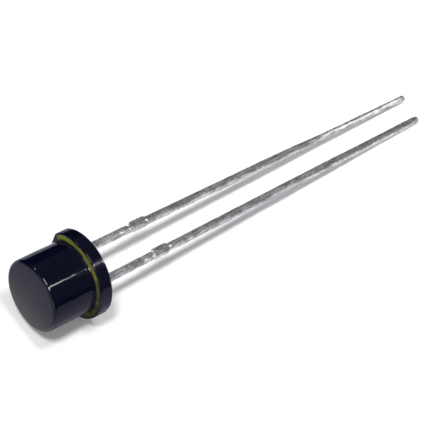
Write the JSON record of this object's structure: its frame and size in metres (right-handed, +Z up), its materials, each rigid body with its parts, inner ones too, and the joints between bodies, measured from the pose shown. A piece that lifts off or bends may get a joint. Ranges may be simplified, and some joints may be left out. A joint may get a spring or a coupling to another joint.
{
  "type": "phototransistor",
  "caption": "Infrared phototransistor in a flat-topped, flanged round black epoxy package, with an olive code ring and long square tinned leads.",
  "frame": {"origin": "centre of the bounding box at its base: the surface that the flange's rim and the lead tips rest on", "axes": "+X runs from the window face towards the lead tips, tilted about 5 degrees down to rest; +Y points to the flat side and the collector lead; +Z is up"},
  "size_m": [0.0344, 0.0054, 0.0059],
  "materials": {
    "black_epoxy": "moulded infrared-passing epoxy, glossy barrel and satin window face",
    "olive_paint": "brushed-on code paint",
    "tinned_lead": "matt tin plating",
    "silver_epoxy": "silver-filled adhesive",
    "silicon": "polished silicon",
    "gold": "drawn gold wire"
  },
  "bodies": {
    "root": {"epoxy_body": "black_epoxy", "colour_ring": "olive_paint", "collector_lead": "tinned_lead", "emitter_lead": "tinned_lead", "die_attach": "silver_epoxy", "transistor_die": "silicon", "bond_wire": "gold"}
  },
  "joints": []
}
